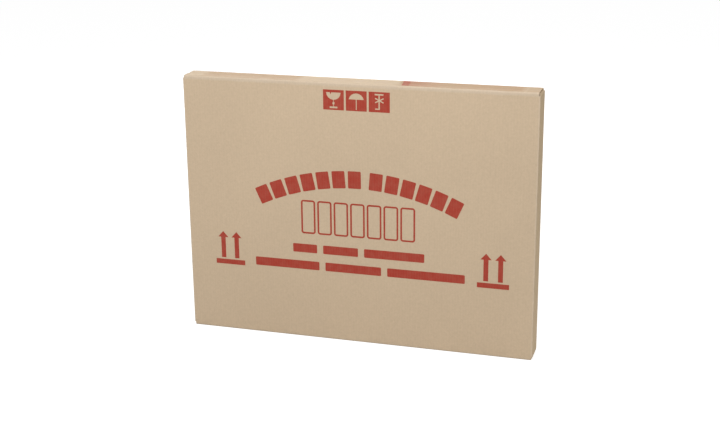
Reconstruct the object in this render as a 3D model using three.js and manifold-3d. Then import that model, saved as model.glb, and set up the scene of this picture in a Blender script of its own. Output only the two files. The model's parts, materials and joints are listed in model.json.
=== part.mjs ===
// An upright, narrow shipping carton for one framed picture or mirror: a single folded and glued sheet of
// corrugated board, two hinged flaps along the top, tape under the closed bottom, and print on the front.
// Millimetres, +Z up, +X along the carton's length, the printed front facing -Y, origin under its middle.
import * as THREE from "three";
import { mergeVertices } from "three/addons/utils/BufferGeometryUtils.js";
import Module from "manifold-3d";

const wasm = await Module();
wasm.setup();

// Carton
const CARTON_LENGTH = 1040;
const CARTON_DEPTH = 75;
const CARTON_HEIGHT = 775;
const BOARD = 4;
const FOLD_RADIUS = 5;
const UPRIGHT_FOLD_RADIUS = 3;
const LEAST_INNER_RADIUS = 0.5;
const END_FLAP_REACH = 37.5;
const END_FLAP_SIDE_GAP = 2;
const LAYER_GAP = 0.3;
const SEAM_GAP = 1;
const CORNER_SLOT = 4;
const HINGE_GAP = 0.2;
const ROOT_OVERLAP = 1;
const ARC_STEPS = 4;

// Glued lap inside the left end
const LAP_WIDTH = 35;
const LAP_THICKNESS = 3;
const LAP_END_TRIM = 6;
const JOINT_GROOVE_WIDTH = 1;
const JOINT_GROOVE_DEPTH = 1.5;

// Tape under the bottom seam
const TAPE_WIDTH = 48;
const TAPE_THICKNESS = 0.25;

// Print, which sits a little to the right of the panel's middle
const INK = 0.25;
const INK_CORNER = 3;
const PRINT_OFFSET = 5;

const HANDLING_WIDTH = 61;
const HANDLING_HEIGHT = 57.5;
const HANDLING_GAP = 5.8;
const HANDLING_TOP_MARGIN = 20.8;
const FIGURE_GRID = 60;

const ARCH_RADIUS = 716;
const ARCH_CROWN_ABOVE_MIDDLE = 134;
const ARCH_BLOCK_HEIGHT = 51;
const ARCH_BLOCK_WIDTH = 38.6;
const ARCH_BLOCK_GAP = 10.6;
const ARCH_GROUP_GAP = 27;
const ARCH_GROUPS = [7, 6];

const OUTLINE_COUNT = 7;
const OUTLINE_WIDTH = 43.5;
const OUTLINE_HEIGHT = 102;
const OUTLINE_GAP = 6.2;
const OUTLINE_STROKE = 5;
const OUTLINE_BELOW_MIDDLE = 12.5;

const BAR_HEIGHT = 26;
const BAR_GAP = 18.5;
const UPPER_BAR_LEFT = 74;
const UPPER_BAR_MIDDLE = 106;
const UPPER_BAR_RIGHT = 179;
const UPPER_BARS_BELOW_MIDDLE = 109;
const LOWER_BAR_LEFT = 201;
const LOWER_BAR_MIDDLE = 171;
const LOWER_BAR_RIGHT = 231;
const LOWER_BARS_BELOW_MIDDLE = 161;

const ARROWS_FROM_END = 122.5;
const ARROW_PITCH = 42;
const ARROW_HEIGHT = 82;
const ARROW_HEAD_WIDTH = 32;
const ARROW_HEAD_HEIGHT = 18;
const ARROW_SHAFT_WIDTH = 14;
const ARROW_BAR_WIDTH = 92;
const ARROW_BAR_HEIGHT = 15;
const ARROW_BAR_GAP = 5;
const ARROWS_BELOW_MIDDLE = 180;
const ARROWS_FROM_LOWER_BARS = 35;

const FLAP_MARK_START = 125.5;
const FLAP_MARK_SLIP = 4;
const FLAP_MARK_LENGTH = 135;
const FLAP_MARK_FROM_FOLD = 6;
const FLAP_MARK_FROM_EDGE = 1;

// Places that follow from the sizes above
const endX = CARTON_LENGTH / 2;
const frontY = -CARTON_DEPTH / 2;
const middleZ = CARTON_HEIGHT / 2;
const foldInnerRadius = FOLD_RADIUS - BOARD;
const uprightInnerRadius = Math.max(UPRIGHT_FOLD_RADIUS - BOARD, LEAST_INNER_RADIUS);
const longFlapHalf = endX - CORNER_SLOT;
const longFlapReach = CARTON_DEPTH / 2 - SEAM_GAP / 2;
const flapMarkWidth = longFlapReach - FLAP_MARK_FROM_FOLD - FLAP_MARK_FROM_EDGE;
const longFoldLowZ = TAPE_THICKNESS + FOLD_RADIUS;
const longFoldHighZ = CARTON_HEIGHT - FOLD_RADIUS;
const endFlapLowZ = TAPE_THICKNESS + BOARD + LAYER_GAP;
const endFlapHighZ = CARTON_HEIGHT - BOARD - LAYER_GAP;
const endFlapHalfWidth = CARTON_DEPTH / 2 - BOARD - END_FLAP_SIDE_GAP;
const figureStep = HANDLING_WIDTH / FIGURE_GRID;
const arrowsX = endX - ARROWS_FROM_END;
const lowerBarsWidth = 2 * (arrowsX - ARROW_BAR_WIDTH / 2 - ARROWS_FROM_LOWER_BARS);

// Axes for an outline: its first axis, its second axis, and the way it is pushed out
const ALONG_X = new THREE.Matrix4().makeBasis(
  new THREE.Vector3(0, 1, 0),
  new THREE.Vector3(0, 0, 1),
  new THREE.Vector3(1, 0, 0),
);
const TOWARDS_FRONT = new THREE.Matrix4().makeBasis(
  new THREE.Vector3(1, 0, 0),
  new THREE.Vector3(0, 0, 1),
  new THREE.Vector3(0, -1, 0),
);

const kraft = new THREE.MeshStandardMaterial({ color: 0xc9b195, roughness: 0.9, metalness: 0 });
const ink = new THREE.MeshStandardMaterial({ color: 0xac3e32, roughness: 0.75, metalness: 0 });
const film = new THREE.MeshStandardMaterial({ color: 0xb08a5c, roughness: 0.35, metalness: 0 });

// Solids for joining and cutting
function solidOf(geometry) {
  const bare = geometry.clone();
  bare.deleteAttribute("normal");
  bare.deleteAttribute("uv");
  const merged = mergeVertices(bare, 1e-4);
  return new wasm.Manifold(
    new wasm.Mesh({
      numProp: 3,
      vertProperties: merged.attributes.position.array,
      triVerts: new Uint32Array(merged.index.array),
    }),
  );
}

function geometryOf(solid) {
  const mesh = solid.getMesh();
  const geometry = new THREE.BufferGeometry();
  geometry.setAttribute("position", new THREE.BufferAttribute(mesh.vertProperties, 3));
  geometry.setIndex(new THREE.BufferAttribute(mesh.triVerts, 1));
  geometry.computeVertexNormals();
  return geometry;
}

function joined(geometries) {
  return geometries.map(solidOf).reduce((whole, next) => whole.add(next));
}

// A box between two corners
function block(low, high) {
  const geometry = new THREE.BoxGeometry(high[0] - low[0], high[1] - low[1], high[2] - low[2]);
  return geometry.translate((low[0] + high[0]) / 2, (low[1] + high[1]) / 2, (low[2] + high[2]) / 2);
}

function extruded(shape, depth, axes) {
  const geometry = new THREE.ExtrudeGeometry(shape, {
    depth,
    bevelEnabled: false,
    curveSegments: ARC_STEPS,
  });
  return axes ? geometry.applyMatrix4(axes) : geometry;
}

function roundedRectangle(width, height, radius, Kind = THREE.Shape) {
  const x = width / 2 - radius;
  const y = height / 2 - radius;
  const outline = new Kind();
  outline.absarc(x, y, radius, 0, Math.PI / 2, false);
  outline.absarc(-x, y, radius, Math.PI / 2, Math.PI, false);
  outline.absarc(-x, -y, radius, Math.PI, 1.5 * Math.PI, false);
  outline.absarc(x, -y, radius, 1.5 * Math.PI, 2 * Math.PI, false);
  outline.closePath();
  return outline;
}

// Board turned through a right angle about the origin's corner: down the second axis, then along the first.
// Above the fold's arc, root is the length of upright board that reaches into the panel it belongs to.
function foldedFlap(reach, root) {
  const outline = new THREE.Shape();
  outline.moveTo(0, FOLD_RADIUS + root);
  outline.absarc(FOLD_RADIUS, FOLD_RADIUS, FOLD_RADIUS, Math.PI, 1.5 * Math.PI, false);
  outline.lineTo(reach, 0);
  outline.lineTo(reach, BOARD);
  outline.absarc(FOLD_RADIUS, FOLD_RADIUS, foldInnerRadius, 1.5 * Math.PI, Math.PI, true);
  outline.lineTo(BOARD, FOLD_RADIUS + root);
  outline.closePath();
  return outline;
}

// The upright tube of four panels, with rounded upright folds
function panelTube() {
  const outline = roundedRectangle(CARTON_LENGTH, CARTON_DEPTH, UPRIGHT_FOLD_RADIUS);
  outline.holes.push(
    roundedRectangle(CARTON_LENGTH - 2 * BOARD, CARTON_DEPTH - 2 * BOARD, uprightInnerRadius, THREE.Path),
  );
  const low = endFlapLowZ + FOLD_RADIUS;
  const high = endFlapHighZ - FOLD_RADIUS;
  return extruded(outline, high - low).translate(0, 0, low);
}

// A long panel between its two folds, narrower than the tube by the corner slots
function longPanel(side) {
  const faces = [side * frontY, side * (frontY + BOARD)].sort((a, b) => a - b);
  return block(
    [-longFlapHalf, faces[0], longFoldLowZ],
    [longFlapHalf, faces[1], longFoldHighZ - HINGE_GAP],
  );
}

// A flap along the carton's length, seen as the front one on the bottom
function longFlap(root) {
  const outline = foldedFlap(longFlapReach, root);
  return extruded(outline, 2 * longFlapHalf, ALONG_X).translate(-longFlapHalf, 0, 0);
}

function bottomFlap(side) {
  const flap = longFlap(ROOT_OVERLAP).translate(0, frontY, TAPE_THICKNESS);
  return side > 0 ? flap : flap.rotateZ(Math.PI);
}

// A short flap folded in from a carton's end, under or over the long flaps
function endFlap(side, atTop) {
  const outline = foldedFlap(END_FLAP_REACH, ROOT_OVERLAP);
  const flap = extruded(outline, 2 * endFlapHalfWidth, TOWARDS_FRONT);
  flap.translate(-endX, endFlapHalfWidth, 0);
  if (atTop) flap.rotateX(Math.PI);
  flap.translate(0, 0, atTop ? endFlapHighZ : endFlapLowZ);
  return side > 0 ? flap : flap.rotateZ(Math.PI);
}

// The strip carried on from the rear panel, glued inside the left end panel
function glueLap() {
  const outerX = -endX + BOARD;
  const rearY = CARTON_DEPTH / 2 - BOARD;
  return block(
    [outerX, rearY - LAP_WIDTH, endFlapLowZ + FOLD_RADIUS + LAP_END_TRIM],
    [outerX + LAP_THICKNESS, rearY, endFlapHighZ - FOLD_RADIUS - LAP_END_TRIM],
  );
}

// Where the left end panel's cut edge stops short of the rear fold
function jointGroove() {
  const startY = CARTON_DEPTH / 2 - UPRIGHT_FOLD_RADIUS - JOINT_GROOVE_WIDTH;
  return block(
    [-endX - JOINT_GROOVE_DEPTH, startY, 0],
    [-endX + JOINT_GROOVE_DEPTH, startY + JOINT_GROOVE_WIDTH, CARTON_HEIGHT],
  );
}

function cartonBody() {
  const sheet = joined([
    panelTube(),
    longPanel(1),
    longPanel(-1),
    bottomFlap(1),
    bottomFlap(-1),
    endFlap(1, false),
    endFlap(-1, false),
    endFlap(1, true),
    endFlap(-1, true),
    glueLap(),
  ]);
  return geometryOf(sheet.subtract(solidOf(jointGroove())));
}

// A plain field of print along a top flap
function flapMark() {
  return block([0, 0, 0], [FLAP_MARK_LENGTH, flapMarkWidth, INK]);
}

// Handling figures, each a list of outlines about the middle of its square, drawn on a grid of that square
function glassFigure() {
  const rim = 21;
  const bowl = new THREE.Shape();
  bowl.absarc(0, rim, 21, Math.PI, 2 * Math.PI, false);
  bowl.lineTo(-6, rim);
  bowl.lineTo(-8.5, rim - 6);
  bowl.lineTo(-10.5, rim);
  bowl.closePath();
  return [bowl, plainBar(0, -9.5, 1.6, 22), plainBar(0, -9.5, 6, 6), plainBar(0, -21, 22.5, 5)];
}

function umbrellaFigure() {
  const edge = 4;
  const dome = new THREE.Shape();
  const radius = 22.3;
  const sink = 4.8;
  const start = Math.asin(sink / radius);
  dome.absarc(0, edge - sink, radius, start, Math.PI - start, false);
  dome.closePath();
  return [dome, plainBar(0, -10, 2.6, 29.5)];
}

function hookFigure() {
  const arms = [27, -27].map((degrees) => plainBar(0.3, 4.5, 27, 3.4, degrees));
  return [plainBar(-0.5, 21, 25, 4.2), plainBar(-0.3, 0.5, 3.8, 43), plainBar(-5, -19.4, 13.5, 3.4), ...arms];
}

function plainBar(x, y, width, height, degrees = 0) {
  const turn = THREE.MathUtils.degToRad(degrees);
  const corners = [[-1, -1], [1, -1], [1, 1], [-1, 1]].map(([i, j]) =>
    new THREE.Vector2((i * width) / 2, (j * height) / 2).rotateAround(new THREE.Vector2(), turn),
  );
  return new THREE.Shape(corners.map((corner) => corner.add(new THREE.Vector2(x, y))));
}

// A printed square with a figure left bare in it
function handlingSquare(figure) {
  const square = solidOf(extruded(plainBar(0, 0, HANDLING_WIDTH, HANDLING_HEIGHT), INK, TOWARDS_FRONT));
  const cuts = figure.map((outline) =>
    extruded(outline, 4 * INK, TOWARDS_FRONT).scale(figureStep, 1, figureStep).translate(0, 2 * INK, 0),
  );
  return geometryOf(square.subtract(joined(cuts)));
}

function upArrow() {
  const shaft = ARROW_SHAFT_WIDTH / 2;
  const neck = ARROW_HEIGHT - ARROW_HEAD_HEIGHT;
  const outline = new THREE.Shape();
  outline.moveTo(-shaft, 0);
  outline.lineTo(shaft, 0);
  outline.lineTo(shaft, neck);
  outline.lineTo(ARROW_HEAD_WIDTH / 2, neck);
  outline.lineTo(0, ARROW_HEIGHT);
  outline.lineTo(-ARROW_HEAD_WIDTH / 2, neck);
  outline.lineTo(-shaft, neck);
  outline.closePath();
  return extruded(outline, INK, TOWARDS_FRONT);
}

function printedBlock(width, height) {
  return extruded(roundedRectangle(width, height, INK_CORNER), INK, TOWARDS_FRONT);
}

function outlinedBlock() {
  const outline = roundedRectangle(OUTLINE_WIDTH, OUTLINE_HEIGHT, INK_CORNER + OUTLINE_STROKE);
  outline.holes.push(
    roundedRectangle(
      OUTLINE_WIDTH - 2 * OUTLINE_STROKE,
      OUTLINE_HEIGHT - 2 * OUTLINE_STROKE,
      INK_CORNER,
      THREE.Path,
    ),
  );
  return extruded(outline, INK, TOWARDS_FRONT);
}

const carton = new THREE.Group();

function addMesh(parent, name, geometry, material, x = 0, y = 0, z = 0) {
  const mesh = new THREE.Mesh(geometry, material.clone());
  mesh.name = name;
  mesh.position.set(x, y, z);
  parent.add(mesh);
  return mesh;
}

// The sheet and its tape
addMesh(carton, "carton_body", cartonBody(), kraft);
const tapeSize = [CARTON_LENGTH - 2 * CORNER_SLOT, TAPE_WIDTH, TAPE_THICKNESS];
addMesh(carton, "bottom_tape", new THREE.BoxGeometry(...tapeSize), film, 0, 0, TAPE_THICKNESS / 2);

// Each top flap hangs in a group at its fold, so that turning the group about X opens it
for (const [name, side] of [["front", 1], ["rear", -1]]) {
  const hinge = new THREE.Group();
  hinge.position.set(0, side * frontY, CARTON_HEIGHT);
  // The bottom flap's outline turned over about X is the rear top flap, and half a turn more the front one
  const flap = longFlap(0).rotateX(Math.PI);
  if (side > 0) flap.rotateZ(Math.PI);
  addMesh(hinge, `${name}_top_flap`, flap, kraft);
  const markY = side > 0 ? FLAP_MARK_FROM_FOLD : -FLAP_MARK_FROM_FOLD - flapMarkWidth;
  const markX = FLAP_MARK_START + side * FLAP_MARK_SLIP;
  addMesh(hinge, `${name}_flap_mark`, flapMark(), ink, markX, markY, 0);
  carton.add(hinge);
}

// Print on the front, in a group whose origin is at mid-height on the front face
const print = new THREE.Group();
print.position.set(PRINT_OFFSET, frontY, middleZ);
carton.add(print);

const figures = { glass: glassFigure(), umbrella: umbrellaFigure(), hook: hookFigure() };
const handlingZ = middleZ - HANDLING_TOP_MARGIN - HANDLING_HEIGHT / 2;
Object.entries(figures).forEach(([name, figure], i) => {
  const x = (i - 1) * (HANDLING_WIDTH + HANDLING_GAP);
  addMesh(print, `handling_mark_${name}`, handlingSquare(figure), ink, x, 0, handlingZ);
});

// Blocks along an arch, in two groups, each block square to the arch
function addArch() {
  const pitch = ARCH_BLOCK_WIDTH + ARCH_BLOCK_GAP;
  const places = [];
  let along = 0;
  for (const count of ARCH_GROUPS) {
    for (let i = 0; i < count; i++) {
      places.push(along + ARCH_BLOCK_WIDTH / 2);
      along += pitch;
    }
    along += ARCH_GROUP_GAP - ARCH_BLOCK_GAP;
  }
  const total = along - ARCH_GROUP_GAP;
  const blockRadius = ARCH_RADIUS - ARCH_BLOCK_HEIGHT / 2;
  places.forEach((place, i) => {
    const angle = (place - total / 2) / ARCH_RADIUS;
    const x = blockRadius * Math.sin(angle);
    const z = ARCH_CROWN_ABOVE_MIDDLE - ARCH_RADIUS + blockRadius * Math.cos(angle);
    const geometry = printedBlock(ARCH_BLOCK_WIDTH, ARCH_BLOCK_HEIGHT);
    addMesh(print, `arch_block_${i + 1}`, geometry, ink, x, 0, z).rotation.y = angle;
  });
}

// A centred row of marks of the given widths
function addRow(name, widths, gap, z, makeGeometry) {
  const total = widths.reduce((sum, width) => sum + width + gap, -gap);
  let left = -total / 2;
  widths.forEach((width, i) => {
    addMesh(print, `${name}_${i + 1}`, makeGeometry(width), ink, left + width / 2, 0, z);
    left += width + gap;
  });
}

// Widths drawn out or in together, so that with their gaps they fill a row of the given width
function fittedRow(widths, gap, rowWidth) {
  const drawn = widths.reduce((sum, width) => sum + width, 0);
  const room = rowWidth - gap * (widths.length - 1);
  return widths.map((width) => (width * room) / drawn);
}

function addArrows(name, x) {
  const low = -ARROWS_BELOW_MIDDLE;
  const bar = printedPlain(ARROW_BAR_WIDTH, ARROW_BAR_HEIGHT);
  addMesh(print, `${name}_arrow_bar`, bar, ink, x, 0, low + ARROW_BAR_HEIGHT / 2);
  [-0.5, 0.5].forEach((step, i) => {
    const arrowX = x + step * ARROW_PITCH;
    const arrowZ = low + ARROW_BAR_HEIGHT + ARROW_BAR_GAP;
    addMesh(print, `${name}_arrow_${i + 1}`, upArrow(), ink, arrowX, 0, arrowZ);
  });
}

function printedPlain(width, height) {
  return extruded(plainBar(0, 0, width, height), INK, TOWARDS_FRONT);
}

addArch();
const outlineWidths = Array(OUTLINE_COUNT).fill(OUTLINE_WIDTH);
addRow("outline_block", outlineWidths, OUTLINE_GAP, -OUTLINE_BELOW_MIDDLE, outlinedBlock);
const bar = (width) => printedBlock(width, BAR_HEIGHT);
const upperBars = [UPPER_BAR_LEFT, UPPER_BAR_MIDDLE, UPPER_BAR_RIGHT];
addRow("upper_bar", upperBars, BAR_GAP, -UPPER_BARS_BELOW_MIDDLE, bar);
const lowerBars = fittedRow([LOWER_BAR_LEFT, LOWER_BAR_MIDDLE, LOWER_BAR_RIGHT], BAR_GAP, lowerBarsWidth);
addRow("lower_bar", lowerBars, BAR_GAP, -LOWER_BARS_BELOW_MIDDLE, bar);
addArrows("left", -arrowsX);
addArrows("right", arrowsX);

export default carton;
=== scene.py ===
"""A tall, narrow corrugated carton for a framed picture, standing closed on a pale studio floor."""
import json
import math

import bpy
from mathutils import Matrix, Vector


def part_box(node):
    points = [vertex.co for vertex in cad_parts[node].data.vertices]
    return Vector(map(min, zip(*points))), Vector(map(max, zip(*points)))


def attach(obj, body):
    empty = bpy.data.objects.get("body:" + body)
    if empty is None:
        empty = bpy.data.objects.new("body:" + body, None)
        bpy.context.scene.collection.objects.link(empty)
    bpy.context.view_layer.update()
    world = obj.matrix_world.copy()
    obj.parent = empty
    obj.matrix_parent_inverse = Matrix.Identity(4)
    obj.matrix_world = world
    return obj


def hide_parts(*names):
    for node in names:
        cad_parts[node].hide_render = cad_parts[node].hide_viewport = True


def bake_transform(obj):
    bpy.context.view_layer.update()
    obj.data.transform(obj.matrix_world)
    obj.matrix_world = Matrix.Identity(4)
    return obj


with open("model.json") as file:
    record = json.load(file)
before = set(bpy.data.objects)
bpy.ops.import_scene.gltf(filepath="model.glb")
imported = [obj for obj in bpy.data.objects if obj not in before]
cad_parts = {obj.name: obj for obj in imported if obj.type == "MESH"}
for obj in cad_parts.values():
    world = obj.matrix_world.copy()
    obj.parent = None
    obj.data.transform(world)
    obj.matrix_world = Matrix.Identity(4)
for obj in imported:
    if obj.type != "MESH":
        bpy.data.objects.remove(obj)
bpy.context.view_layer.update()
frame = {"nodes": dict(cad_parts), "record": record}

MM = 0.001

# Board, in metres
BOARD = 4 * MM
LINER = 0.4 * MM
MEDIUM = 0.35 * MM
FLUTE_PITCH = 7.8 * MM
FOLD_RADIUS = 5 * MM
END_FLAP_REACH = 37.5 * MM

# Top flaps, measured from their fold inwards, with the wear radius of the left and the right corner
FLAP_ROOT = 5.5 * MM
EDGE_RECESS = 3 * MM
END_RECESS = 0.5 * MM
MEDIUM_RECESS = 0.3 * MM
MEDIUM_OVERLAP = 1 * MM
SAG = 1.6 * MM
SAG_STARTS = 9 * MM
SAG_ZONES = ((-462 * MM, -173 * MM), (124 * MM, 472 * MM))
SAG_EASE = 22 * MM
CORNER_WEAR = {"front": (10 * MM, 3 * MM), "rear": (6 * MM, 3 * MM)}
WIDEST_WEAR = max(max(radii) for radii in CORNER_WEAR.values())

# Spacing of the points along a top flap, near its corners, across it and along its fluting
GRID_STEP = 8 * MM
CORNER_STEP = 0.8 * MM
INWARD_STEP = 4 * MM
MEDIUM_SAMPLES_PER_FLUTE = 10

# Fold strips
STRIP_REACH = 10 * MM
STRIP_PROUD = 0.1 * MM
STRIP_END_PROUD = 0.03 * MM
STRIP_STEP = 1.25 * MM
STRIP_ARC_STEPS = 8
STRIP_RIPPLE = 0.12 * MM
STRIP_SAMPLES_PER_FLUTE = 4

# Edges sharper than this stay sharp, in degrees
SHARP_ANGLE = 35
STRIP_SHARP_ANGLE = 60

# Print on the flaps: a strong block at its start, then a field that fades
PRINT_PROUD = 0.2 * MM
PRINT_SINK = 0.05 * MM
PRINT_SLANT = 0.15
PRINT_START = 128 * MM
PRINT_START_EASE = 2 * MM
PRINT_BLOCK_END = 147 * MM
PRINT_BLOCK_EASE = 5 * MM
PRINT_FADED = 250 * MM
PRINT_BLOCK_COVER = 0.72
PRINT_FIELD_COVER = 0.36

# Colours as seen in daylight, from 0 to 255
KRAFT = (203, 181, 153)
# Painted highlight along the top and upright folds
KRAFT_HIGHLIGHT = (207, 188, 165)
# Painted shade on the top flaps, also the board under their faded print
KRAFT_SHADED = (189, 160, 130)
INK_RED = (164, 56, 40)
TAPE_BROWN = (176, 138, 92)
EDGE_BROWN = (150, 124, 94)
# Painted shade in the hollows of the fluting at cut edges
FLUTE_HOLLOW_SHADE = (92, 72, 52)
WHITE = (255, 255, 255)

# Where the folds carry a painted highlight, each from its first trace to its full strength
HIGHLIGHT_BELOW_TOP = (13 * MM, 8.5 * MM)
FLAT_FROM_SIDE = (2.5 * MM, 5 * MM)
UPRIGHT_FROM_END = (4.5 * MM, 2.5 * MM)
UPRIGHT_FROM_SIDE = (2 * MM, 0.8 * MM)
UPRIGHT_HIGHLIGHT = 0.9

# Painted shade on the top flaps: in the stretches that dip, and a little towards the right end, where the
# lamps leave less light
OUTER_FACE = (3.2 * MM, 2.2 * MM)
ZONE_SHADE_DEPTHS = (0.75, 1.0)
END_SHADE_REACH = 35 * MM
END_SHADE_DEPTH = 0.45

# Darker in patches towards the foot
FOOT_DARK_HEIGHT = 45 * MM
FOOT_DARK_DEPTH = 0.07

# Fluting in the cut edges of the top end flaps, with painted shade in its hollows, the first three as shares
# of half the board
HOLLOW_REACH = 0.8
MEDIUM_SWING = 0.7
MEDIUM_HALF = 0.2
CUT_HEIGHT = 1.1 * BOARD
CUT_DEPTH = 0.2 * MM
CUT_MARGIN = 0.1 * MM

# Noise is a scale, a detail, a roughness and a stretch, and mostly lies in this span
EVEN = (1.0, 1.0, 1.0)
ALONG = (1.0, 0.0, 0.0)
NOISE_SPAN = (0.3, 0.7)
LINER_GRAIN = (600.0, 4.0, 0.6, (2.0, 2.0, 1.0))
TAPE_WRINKLES = (160.0, 4.0, 0.6, (0.15, 1.0, 1.0))
EDGE_GRAIN = (1200.0, 3.0)

# Textures: noise, the span of it that counts, and what that becomes
CLOUDS = ((3.0, 2.0), NOISE_SPAN, (0.975, 1.025))
MOTTLE = ((140.0, 5.0, 0.65), NOISE_SPAN, (0.955, 1.045))
FIBRES = ((420.0, 4.0, 0.7, (3.0, 3.0, 0.7)), NOISE_SPAN, (0.95, 1.05))
FLECKS = ((560.0, 2.0, 0.55, (1.0, 1.0, 0.45)), (0.70, 0.76), (1.0, 0.84))
FOOT_PATCHES = ((22.0, 5.0, 0.7, (1.0, 1.0, 2.5)), (0.5, 0.68), (0.0, 1.0))
FLAT_WANDER = ((20.0, 2.0, 0.55, ALONG), NOISE_SPAN, (-1.2 * MM, 1.2 * MM))
BAND_WANDER = ((14.0, 2.0, 0.55, ALONG), NOISE_SPAN, (-1.2 * MM, 1.2 * MM))
BAND_STRENGTH = ((9.0, 3.0, 0.55, ALONG), NOISE_SPAN, (0.7, 1.0))
PINHOLES = ((950.0, 3.0, 0.7), (0.66, 0.74), (0.0, 0.4))
FAINT_PATCHES = ((60.0, 4.0), (0.4, 0.75), (0.0, 0.06))
TAPE_TONE = ((25.0, 3.0), NOISE_SPAN, (0.93, 1.07))
EDGE_TONE = ((700.0, 4.0, 0.7), NOISE_SPAN, (0.85, 1.1))
LINER_ROUGHNESS = ((90.0,), NOISE_SPAN, (0.74, 0.9))
INK_ROUGHNESS = ((120.0,), NOISE_SPAN, (0.6, 0.78))

# The flutes' stripes in the liner, and in the print over them
STRIPE_TONES = (0.992, 1.008)
STREAK_BARENESS = 0.02

# Bumps, each with its height and strength
WASHBOARD_BUMP = (0.05 * MM, 0.6)
GRAIN_BUMP = (0.05 * MM, 0.5)
WRINKLE_BUMP = (0.15 * MM, 0.7)
EDGE_BUMP = (0.06 * MM, 0.6)

# Gloss
TAPE_ROUGHNESS = 0.28
EDGE_ROUGHNESS = 0.92
LINER_SPECULAR = 0.25
INK_SPECULAR = 0.3
TAPE_SPECULAR = 0.5
EDGE_SPECULAR = 0.15

# A surface that faces this far along X belongs to an end panel
END_PANEL_FACING = 0.7

# Floor: the light that it sends back, and how the camera sees it
FLOOR_HALF = 16.0
FLOOR_BOUNCE = 0.62
FLOOR_SHADING = 0.4
FLOOR_GLOW = 0.84

# Lamps, each with its place, size, power and colour
LAMPS = {
    "key": ((0.1, -2.5, 3.4), 2.0, 111, (1.0, 1.0, 1.0)),
    "back": ((-1.6, 3.6, 1.7), 2.4, 85, (1.0, 1.0, 1.0)),
    "side": ((3.6, 0.5, 1.2), 1.2, 16, (1.0, 0.92, 0.6)),
}
LAMP_TARGET = (0, 0, 0.5)
SURROUND = 0.35

# Camera, solved from the carton's edges
CAMERA_PLACE = (1.0307, -3.3745, 1.4710)
CAMERA_AZIMUTH = 16.963
CAMERA_ELEVATION = 17.117
CAMERA_ROLL = -0.556
FOCAL_PIXELS = 1275.0
IMAGE_WIDTH = 720
SENSOR_WIDTH = 36

carton_low, carton_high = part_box("carton_body")
flap_low, flap_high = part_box("front_top_flap")
FRONT_Y = carton_low.y
HALF_DEPTH = -FRONT_Y
END_X = carton_high.x
TOP_Z = flap_high.z
FLAP_END = flap_high.x
FLAP_REACH = flap_high.y - FRONT_Y
END_FLAP_TOP = carton_high.z
END_FLAP_EDGE = END_X - END_FLAP_REACH


def linear(colour):
    """A 0 to 255 sRGB colour as linear RGBA."""
    shares = [c / 255 for c in colour]
    return (*[s / 12.92 if s <= 0.04045 else ((s + 0.055) / 1.055) ** 2.4 for s in shares], 1)


def smooth(low, high, value):
    """0 below low, 1 above high, eased between."""
    t = min(1, max(0, (value - low) / (high - low)))
    return t * t * (3 - 2 * t)


def steps(low, high, size):
    """Evenly spaced values from low to high, at most size apart."""
    count = max(1, math.ceil((high - low) / size - 1e-6))
    return [low + (high - low) * i / count for i in range(count + 1)]


class Nodes:
    """Short names for building the node tree of a material or a world."""

    def __init__(self, owner):
        self.owner = owner
        owner.use_nodes = True
        self.tree = owner.node_tree
        self.tree.nodes.clear()

    def add(self, kind, inputs=(), **settings):
        """A node with its settings, and each input given a value or joined to another node's output."""
        node = self.tree.nodes.new(kind)
        for key, value in settings.items():
            setattr(node, key, value)
        for key, value in dict(inputs).items():
            if isinstance(value, bpy.types.NodeSocket):
                self.tree.links.new(value, node.inputs[key])
            else:
                node.inputs[key].default_value = value
        return node

    def math(self, operation, a, b=0.0):
        return self.add("ShaderNodeMath", {0: a, 1: b}, operation=operation).outputs[0]

    def times(self, first, *others):
        for other in others:
            first = self.math("MULTIPLY", first, other)
        return first

    def split(self, vector):
        return list(self.add("ShaderNodeSeparateXYZ", {0: vector}).outputs)

    def noise(self, place, scale, detail=3.0, roughness=0.55, stretch=EVEN):
        if stretch != EVEN:
            place = self.add("ShaderNodeMapping", {"Vector": place, "Scale": stretch}).outputs[0]
        inputs = {"Vector": place, "Scale": scale, "Detail": detail, "Roughness": roughness}
        return self.add("ShaderNodeTexNoise", inputs).outputs["Fac"]

    def remap(self, value, low, high, to_low=0.0, to_high=1.0):
        inputs = {"Value": value, "From Min": low, "From Max": high, "To Min": to_low, "To Max": to_high}
        return self.add("ShaderNodeMapRange", inputs).outputs[0]

    def texture(self, place, noise, span, result):
        """Noise with the given span of it spread over the result's two ends."""
        return self.remap(self.noise(place, *noise), *span, *result)

    def mix(self, factor, a, b, kind="RGBA"):
        return self.add("ShaderNodeMix", {"Factor": factor, "A": a, "B": b}, data_type=kind).outputs["Result"]

    def scaled(self, colour, factor):
        """A colour made darker or lighter by a factor."""
        vector = colour if isinstance(colour, bpy.types.NodeSocket) else colour[:3]
        return self.add("ShaderNodeVectorMath", {0: vector, "Scale": factor}, operation="SCALE").outputs[0]

    def bump(self, height, distance, strength, under=None):
        """A bumped normal, on top of another one where that is given."""
        inputs = {"Height": height, "Distance": distance, "Strength": strength}
        if under:
            inputs["Normal"] = under
        return self.add("ShaderNodeBump", inputs).outputs[0]

    def finish(self, colour, roughness, normal, specular):
        """Ends a material in one surface."""
        surface = self.add("ShaderNodeBsdfPrincipled", {
            "Base Color": colour,
            "Roughness": roughness,
            "Normal": normal,
            "Specular IOR Level": specular,
        })
        self.add("ShaderNodeOutputMaterial", {0: surface.outputs[0]})
        return self.owner


def board_surface(name):
    """Nodes for a finish on board: the tree, the place on the carton, its x, y and z, and the flutes."""
    n = Nodes(bpy.data.materials.new(name))
    coordinates = n.add("ShaderNodeTexCoord").outputs
    place = coordinates["Object"]
    parts = n.split(place)
    return n, place, parts, flute_wave(n, parts, coordinates["Normal"])


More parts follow.
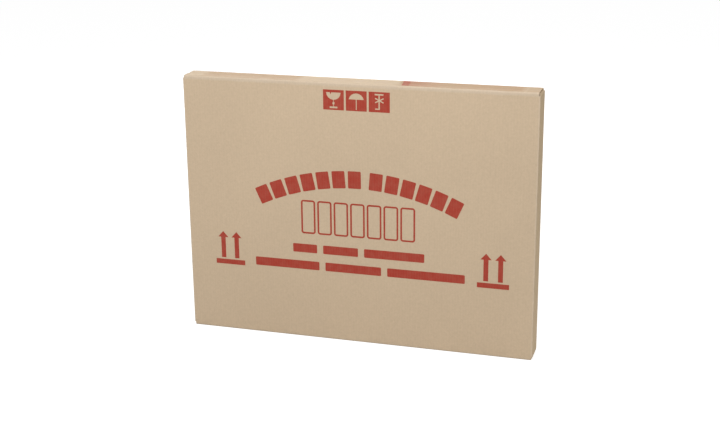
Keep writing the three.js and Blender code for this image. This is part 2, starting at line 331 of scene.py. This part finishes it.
def flute_wave(n, parts, normal):
    """A sine across the flutes, which run up every panel and on into its flaps."""
    facing_end = n.math("ABSOLUTE", n.split(normal)[0])
    across = n.mix(n.math("GREATER_THAN", facing_end, END_PANEL_FACING), parts[0], parts[1], "FLOAT")
    return n.math("SINE", n.times(across, 2 * math.pi / FLUTE_PITCH))


def board_tone(n, place):
    """How light the board is from place to place: clouds, pulp mottle, long fibres and dark flecks."""
    return n.times(*(n.texture(place, *part) for part in (CLOUDS, MOTTLE, FIBRES, FLECKS)))


def board_bump(n, place, wave):
    """The washboard of the flutes under the liner, and the liner's own grain."""
    washboard = n.bump(wave, *WASHBOARD_BUMP)
    return n.bump(n.noise(place, *LINER_GRAIN), *GRAIN_BUMP, washboard)


def flap_shade_mask(n, x):
    """How much painted shade the top flaps get along the carton: 1 in the right stretch that dips, less in
    the left one, and some towards the right end.
    """
    masks = []
    for (low, high), depth in zip(SAG_ZONES, ZONE_SHADE_DEPTHS):
        rise = n.remap(x, low - SAG_EASE / 2, low + SAG_EASE / 2, 0.0, depth)
        fall = n.remap(x, high - SAG_EASE / 2, high + SAG_EASE / 2, 1.0, 0.0)
        masks.append(n.times(rise, fall))
    right_end_shade = n.remap(x, SAG_ZONES[1][1], END_X - END_SHADE_REACH, 0.0, END_SHADE_DEPTH)
    return n.math("MAXIMUM", n.math("ADD", *masks), right_end_shade)


def off_the_folds(n, place, y):
    """0 on the outside of the top folds, 1 on the flat of the top flaps, with an uneven line between them."""
    inward = n.math("SUBTRACT", HALF_DEPTH, n.math("ABSOLUTE", y))
    return n.remap(n.math("ADD", inward, n.texture(place, *FLAT_WANDER)), *FLAT_FROM_SIDE)


def fold_highlight_mask(n, place, parts, flat):
    """1 on the outside of the top folds and just round the upright ones: a painted highlight where the folds
    catch the light.
    """
    x, y, z = parts
    height = n.math("ADD", z, n.texture(place, *BAND_WANDER))
    band = n.remap(height, *(TOP_Z - distance for distance in HIGHLIGHT_BELOW_TOP))
    strength = n.texture(place, *BAND_STRENGTH)
    folds = n.times(band, n.math("SUBTRACT", 1.0, flat), strength)
    near_end = n.remap(n.math("ABSOLUTE", x), *(END_X - distance for distance in UPRIGHT_FROM_END))
    near_side = n.remap(n.math("ABSOLUTE", y), *(HALF_DEPTH - distance for distance in UPRIGHT_FROM_SIDE))
    return n.math("MAXIMUM", folds, n.times(near_end, near_side, UPRIGHT_HIGHLIGHT))


def cut_end(n, parts):
    """1 on the free edges of the top end flaps, with the colour of the fluting that shows in them and painted
    shade in its hollows.
    """
    x, y, z = parts
    height = n.remap(z, END_FLAP_TOP - BOARD, END_FLAP_TOP, -1.0, 1.0)
    medium = n.times(n.math("SINE", n.times(y, 2 * math.pi / FLUTE_PITCH)), MEDIUM_SWING)
    off_medium = n.math("ABSOLUTE", n.math("SUBTRACT", height, medium))
    hollow = n.math("LESS_THAN", n.math("ABSOLUTE", height), HOLLOW_REACH)
    # Painted shade in the hollows between the medium and the liners
    hollow_shade = n.times(n.math("GREATER_THAN", off_medium, MEDIUM_HALF), hollow)
    colour = n.mix(hollow_shade, linear(EDGE_BROWN), linear(FLUTE_HOLLOW_SHADE))
    off_edge = n.math("ABSOLUTE", n.math("SUBTRACT", n.math("ABSOLUTE", x), END_FLAP_EDGE))
    at_edge = n.math("LESS_THAN", off_edge, CUT_DEPTH)
    above = n.math("GREATER_THAN", z, END_FLAP_TOP - CUT_HEIGHT)
    below = n.math("LESS_THAN", z, END_FLAP_TOP + CUT_MARGIN)
    between = n.math("LESS_THAN", n.math("ABSOLUTE", y), HALF_DEPTH - BOARD)
    return n.times(at_edge, above, below, between), colour


def make_kraft():
    """Kraft liner: painted highlight at the folds, painted shade where the top flaps dip and towards the
    right end, fluting at cut ends with painted shade in its hollows, darker in patches at the foot.
    """
    n, place, parts, wave = board_surface("board_kraft")
    x, y, z = parts
    flat = off_the_folds(n, place, y)
    # Painted highlight along the top and upright folds
    shade = n.mix(fold_highlight_mask(n, place, parts, flat), linear(KRAFT), linear(KRAFT_HIGHLIGHT))
    outer_face = n.remap(z, *(TOP_Z - distance for distance in OUTER_FACE))
    # Painted shade where the top flaps dip and towards the right end
    shade = n.mix(n.times(flap_shade_mask(n, x), flat, outer_face), shade, linear(KRAFT_SHADED))
    # Cut edges show the fluting, with painted shade in its hollows
    cut, fluting = cut_end(n, parts)
    shade = n.mix(cut, shade, fluting)
    stripes = n.remap(wave, -1.0, 1.0, *STRIPE_TONES)
    # Darker in patches towards the foot
    foot = n.remap(z, 0.0, FOOT_DARK_HEIGHT, FOOT_DARK_DEPTH, 0.0)
    foot_tone = n.math("SUBTRACT", 1.0, n.times(n.texture(place, *FOOT_PATCHES), foot))
    colour = n.scaled(shade, n.times(board_tone(n, place), stripes, foot_tone))
    roughness = n.texture(place, *LINER_ROUGHNESS)
    return n.finish(colour, roughness, board_bump(n, place, wave), LINER_SPECULAR)


def ink_bareness(n, place, wave):
    """How much board shows through full print: pinholes, a trace of the flutes, and faint patches."""
    streaks = n.remap(wave, -1.0, 1.0, STREAK_BARENESS, 0.0)
    patches = n.texture(place, *FAINT_PATCHES)
    return n.math("ADD", n.texture(place, *PINHOLES), n.math("ADD", streaks, patches))


def make_ink():
    """Red print, thin enough for the board's mottle and flutes to show through it."""
    n, place, _, wave = board_surface("red_print")
    shade = n.mix(ink_bareness(n, place, wave), linear(INK_RED), linear(KRAFT))
    colour = n.scaled(shade, board_tone(n, place))
    roughness = n.texture(place, *INK_ROUGHNESS)
    return n.finish(colour, roughness, board_bump(n, place, wave), INK_SPECULAR)


def make_faded_ink():
    """The same print rubbed thin on the flaps: a block with a slanted start, then a field that fades."""
    n, place, (x, y, _), wave = board_surface("faded_print")
    along = n.math("ADD", x, n.times(y, PRINT_SLANT))
    started = n.remap(along, PRINT_START, PRINT_START + PRINT_START_EASE)
    extra = PRINT_BLOCK_COVER - PRINT_FIELD_COVER
    block = n.remap(along, PRINT_BLOCK_END, PRINT_BLOCK_END + PRINT_BLOCK_EASE, extra, 0.0)
    field = n.remap(along, PRINT_BLOCK_END, PRINT_FADED, PRINT_FIELD_COVER, 0.0)
    inked = n.times(started, n.math("ADD", block, field))
    full = n.math("SUBTRACT", 1.0, ink_bareness(n, place, wave))
    # The board under the print carries the painted shade of the flap's dip
    shade = n.mix(n.times(inked, full), linear(KRAFT_SHADED), linear(INK_RED))
    colour = n.scaled(shade, board_tone(n, place))
    roughness = n.texture(place, *LINER_ROUGHNESS)
    return n.finish(colour, roughness, board_bump(n, place, wave), LINER_SPECULAR)


def make_tape():
    """Brown polypropylene tape with fine wrinkles along its length."""
    n = Nodes(bpy.data.materials.new("brown_tape"))
    place = n.add("ShaderNodeTexCoord").outputs["Object"]
    colour = n.scaled(linear(TAPE_BROWN), n.texture(place, *TAPE_TONE))
    wrinkles = n.bump(n.noise(place, *TAPE_WRINKLES), *WRINKLE_BUMP)
    return n.finish(colour, TAPE_ROUGHNESS, wrinkles, TAPE_SPECULAR)


def make_edge():
    """The fluting medium seen at a cut edge."""
    n = Nodes(bpy.data.materials.new("cut_edge"))
    place = n.add("ShaderNodeTexCoord").outputs["Object"]
    colour = n.scaled(linear(EDGE_BROWN), n.texture(place, *EDGE_TONE))
    grain = n.bump(n.noise(place, *EDGE_GRAIN), *EDGE_BUMP)
    return n.finish(colour, EDGE_ROUGHNESS, grain, EDGE_SPECULAR)


def mesh_object(name, vertices, faces, material, sharp=SHARP_ANGLE):
    """A mesh of the given faces, smooth except across edges sharper than the angle."""
    mesh = bpy.data.meshes.new(name)
    mesh.from_pydata(vertices, [], faces)
    mesh.validate()
    mesh.polygons.foreach_set("use_smooth", [True] * len(mesh.polygons))
    mesh.set_sharp_from_angle(angle=math.radians(sharp))
    mesh.materials.append(material)
    made = bpy.data.objects.new(name, mesh)
    bpy.context.scene.collection.objects.link(made)
    return made


def shell(rows):
    """A closed skin over rows of points: each row is a ring, and the first and last rows are capped."""
    size = len(rows[0])
    vertices = [point for row in rows for point in row]
    faces = []
    for i in range(len(rows) - 1):
        for j in range(size):
            k = (j + 1) % size
            faces.append((i * size + j, i * size + k, (i + 1) * size + k, (i + 1) * size + j))
    faces.append(tuple(range(size))[::-1])
    faces.append(tuple((len(rows) - 1) * size + j for j in range(size)))
    return vertices, faces


def merged(parts):
    """Several (vertices, faces) lists as one."""
    vertices, faces = [], []
    for more_vertices, more_faces in parts:
        start = len(vertices)
        vertices += more_vertices
        faces += [tuple(i + start for i in face) for face in more_faces]
    return vertices, faces


def sag(x, inward):
    """How far a top flap dips at x, this far in from its fold."""
    half = SAG_EASE / 2
    zone = sum(
        smooth(low - half, low + half, x) * smooth(-high - half, -high + half, -x)
        for low, high in SAG_ZONES
    )
    return SAG * zone * smooth(SAG_STARTS, FLAP_REACH, inward)


def worn(x, wear):
    """The share of a flap's reach that is left at x, where its free corners are rounded off."""
    for radius, distance in ((wear[0], FLAP_END + x), (wear[1], FLAP_END - x)):
        if distance < radius:
            lost = radius - math.sqrt(max(0, radius ** 2 - (radius - distance) ** 2))
            return (FLAP_REACH - lost - FLAP_ROOT) / (FLAP_REACH - FLAP_ROOT)
    return 1


def flap_steps(inset=0.0):
    """Places along a flap, closer together near its rounded corners."""
    corner = FLAP_END - WIDEST_WEAR
    middle = steps(-corner, corner, GRID_STEP)
    tip = steps(corner, FLAP_END - inset, CORNER_STEP)[1:]
    return [-x for x in reversed(tip)] + middle + tip


def slab(x_values, inward_values, top, bottom, wear=None):
    """A plate of the flap between two depths below its top face, following its dip and its worn corners."""
    rows = []
    for x in x_values:
        share = worn(x, wear) if wear else 1
        reach = [FLAP_ROOT + (a - FLAP_ROOT) * share for a in inward_values]
        over = [(x, a, top - sag(x, a)) for a in reach]
        under = [(x, a, bottom - sag(x, a)) for a in reversed(reach)]
        rows.append(over + under)
    return shell(rows)


def flap_medium(wear):
    """The fluted middle of the board, seen between the liners along the flap's free edge."""
    half_length = FLAP_END - END_RECESS
    count = round(2 * half_length / FLUTE_PITCH) * MEDIUM_SAMPLES_PER_FLUTE
    swing = BOARD / 2 - LINER - MEDIUM / 2
    start, stop = FLAP_REACH - EDGE_RECESS - MEDIUM_OVERLAP, FLAP_REACH - MEDIUM_RECESS
    rows = []
    for i in range(count + 1):
        x = -half_length + 2 * half_length * i / count
        middle = -BOARD / 2 + swing * math.sin(2 * math.pi * i / MEDIUM_SAMPLES_PER_FLUTE)
        lost = (1 - worn(x, wear)) * (FLAP_REACH - FLAP_ROOT)
        ring = [(start - lost, 0.5), (stop - lost, 0.5), (stop - lost, -0.5), (start - lost, -0.5)]
        rows.append([(x, a, middle + half * MEDIUM - sag(x, a)) for a, half in ring])
    return shell(rows)


def placed(part, side):
    """Points given as x, distance in from the fold and height over the top, put on the front or rear flap."""
    vertices, faces = part
    moved = [(x, side * (FRONT_Y + a), TOP_Z + b) for x, a, b in vertices]
    return moved, faces if side < 0 else [face[::-1] for face in faces]


def top_flap(name, side, kraft, edge):
    """A long top flap: two liners, a plain middle set back between them, and the fluting at its edge."""
    wear = CORNER_WEAR[name]
    inward = steps(FLAP_ROOT, FLAP_REACH, INWARD_STEP)
    liners = merged([
        slab(flap_steps(), inward, 0, -LINER, wear),
        slab(flap_steps(), inward, -BOARD + LINER, -BOARD, wear),
    ])
    core_inward = steps(FLAP_ROOT, FLAP_REACH - EDGE_RECESS, INWARD_STEP)
    middle = merged([
        slab(flap_steps(END_RECESS), core_inward, -LINER, -BOARD + LINER, wear),
        flap_medium(wear),
    ])
    board = mesh_object(f"{name}_flap_board", *placed(liners, side), kraft)
    core = mesh_object(f"{name}_flap_fluting", *placed(middle, side), edge)
    for piece in (board, core):
        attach(piece, f"{name}_flap")
    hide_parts(f"{name}_top_flap")


def fold_path(offset, end_offset):
    """Points round the fold at an offset out from the board's outer face, from the panel to the flap."""
    def shifted(distance_in):
        share = smooth(0, STRIP_REACH - FOLD_RADIUS, STRIP_REACH - distance_in)
        return end_offset + (offset - end_offset) * share

    straight = steps(FOLD_RADIUS, STRIP_REACH, STRIP_STEP)
    radius = FOLD_RADIUS + offset
    path = [(-shifted(d), -d) for d in reversed(straight)]
    for i in range(1, STRIP_ARC_STEPS):
        angle = math.pi - math.pi / 2 * i / STRIP_ARC_STEPS
        path.append((FOLD_RADIUS + radius * math.cos(angle), -FOLD_RADIUS + radius * math.sin(angle)))
    return path + [(d, shifted(d)) for d in straight]


def fold_strip(name, side, material):
    """The board at a top fold, bent from the panel to the flap and wrapped closely round both."""
    outer = fold_path(STRIP_PROUD, STRIP_END_PROUD)
    inner = fold_path(-BOARD - STRIP_PROUD, -BOARD - STRIP_END_PROUD)
    rows = []
    for x in steps(-FLAP_END, FLAP_END, FLUTE_PITCH / STRIP_SAMPLES_PER_FLUTE):
        ripple = STRIP_RIPPLE * (0.5 - 0.5 * math.cos(2 * math.pi * x / FLUTE_PITCH))
        row = []
        for i, (a, b) in enumerate(outer):
            depth = ripple * math.sin(math.pi * i / (len(outer) - 1)) ** 2
            row.append((x, a + depth / 2, b - depth / 2))
        rows.append(row + [(x, a, b) for a, b in reversed(inner)])
    strip = mesh_object(f"{name}_fold", *placed(shell(rows), side), material, STRIP_SHARP_ANGLE)
    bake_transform(strip)


def flap_print(name, side, material):
    """The field of print on a top flap, lying on its dipped face."""
    low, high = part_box(f"{name}_flap_mark")
    inner, outer = sorted(side * y - FRONT_Y for y in (low.y, high.y))
    inward = steps(inner, outer, INWARD_STEP)
    field = slab(steps(low.x, high.x, GRID_STEP), inward, PRINT_PROUD, -PRINT_SINK)
    piece = mesh_object(f"{name}_flap_print", *placed(field, side), material)
    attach(piece, f"{name}_flap")
    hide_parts(f"{name}_flap_mark")


def dress_nodes(kraft, ink, tape):
    """Gives each node that stays its finished material."""
    finishes = {"kraft_board": kraft, "red_ink": ink, "packing_tape": tape}
    slots = {row["node"]: row["material_slot"] for row in frame["record"]["subparts"]}
    for name, node in frame["nodes"].items():
        node.data.materials.clear()
        node.data.materials.append(finishes[slots[name]])


def make_stage():
    """A wide white floor. The camera sees it lifted to white wherever the carton doesn't shade it."""
    n = Nodes(bpy.data.materials.new("studio_white"))
    ray = n.add("ShaderNodeLightPath").outputs
    seen = n.math("MAXIMUM", ray["Is Camera Ray"], ray["Is Glossy Ray"])
    seen = n.math("MAXIMUM", seen, ray["Is Transmission Ray"])
    bounced, shaded = (
        n.add("ShaderNodeBsdfDiffuse", {"Color": (grey, grey, grey, 1)}).outputs[0]
        for grey in (FLOOR_BOUNCE, FLOOR_SHADING)
    )
    glow = n.add("ShaderNodeEmission", {"Color": linear(WHITE), "Strength": FLOOR_GLOW}).outputs[0]
    lifted = n.add("ShaderNodeAddShader", {0: shaded, 1: glow}).outputs[0]
    surface = n.add("ShaderNodeMixShader", {0: seen, 1: bounced, 2: lifted}).outputs[0]
    n.add("ShaderNodeOutputMaterial", {0: surface})
    corners = [(x * FLOOR_HALF, y * FLOOR_HALF, 0) for x, y in ((-1, -1), (1, -1), (1, 1), (-1, 1))]
    mesh_object("studio_floor", corners, [(0, 1, 2, 3)], n.owner)


def area_light(name, place, size, power, colour):
    data = bpy.data.lights.new(name, "AREA")
    data.shape = "DISK"
    data.size = size
    data.energy = power
    data.color = colour
    light = bpy.data.objects.new(name, data)
    light.location = place
    light.rotation_euler = (Vector(LAMP_TARGET) - Vector(place)).to_track_quat("-Z", "Y").to_euler()
    bpy.context.scene.collection.objects.link(light)


def light_studio():
    """A soft key above the front, a weaker lamp behind, a warm one at the right end, and a pale surround."""
    for name, lamp in LAMPS.items():
        area_light(name, *lamp)
    n = Nodes(bpy.data.worlds.new("surround"))
    ray = n.add("ShaderNodeLightPath").outputs
    seen = n.math("MAXIMUM", ray["Is Camera Ray"], ray["Is Glossy Ray"])
    strength = n.remap(seen, 0.0, 1.0, SURROUND, 1.0)
    background = n.add("ShaderNodeBackground", {"Color": linear(WHITE), "Strength": strength}).outputs[0]
    n.add("ShaderNodeOutputWorld", {0: background})
    bpy.context.scene.world = n.owner


def make_camera():
    """The photograph's view: its place, aim, roll and focal length."""
    azimuth, elevation, roll = map(math.radians, (CAMERA_AZIMUTH, CAMERA_ELEVATION, CAMERA_ROLL))
    forward = Vector((
        -math.sin(azimuth) * math.cos(elevation),
        math.cos(azimuth) * math.cos(elevation),
        -math.sin(elevation),
    ))
    level = forward.cross(Vector((0, 0, 1))).normalized()
    upright = level.cross(forward)
    right = math.cos(roll) * level + math.sin(roll) * upright
    up = math.cos(roll) * upright - math.sin(roll) * level
    data = bpy.data.cameras.new("camera")
    data.sensor_width = SENSOR_WIDTH
    data.lens = FOCAL_PIXELS / IMAGE_WIDTH * SENSOR_WIDTH
    camera = bpy.data.objects.new("camera", data)
    turn = Matrix((right, up, -forward)).transposed().to_4x4()
    camera.matrix_world = Matrix.Translation(CAMERA_PLACE) @ turn
    bpy.context.scene.collection.objects.link(camera)
    bpy.context.scene.camera = camera


make_camera()
board_kraft = make_kraft()
red_print = make_ink()
faded_print = make_faded_ink()
cut_edge = make_edge()
dress_nodes(board_kraft, red_print, make_tape())
for flap_name, flap_side in (("front", 1), ("rear", -1)):
    top_flap(flap_name, flap_side, board_kraft, cut_edge)
    fold_strip(flap_name, flap_side, board_kraft)
    flap_print(flap_name, flap_side, faded_print)
make_stage()
light_studio()
bpy.context.scene.view_settings.view_transform = "Standard"
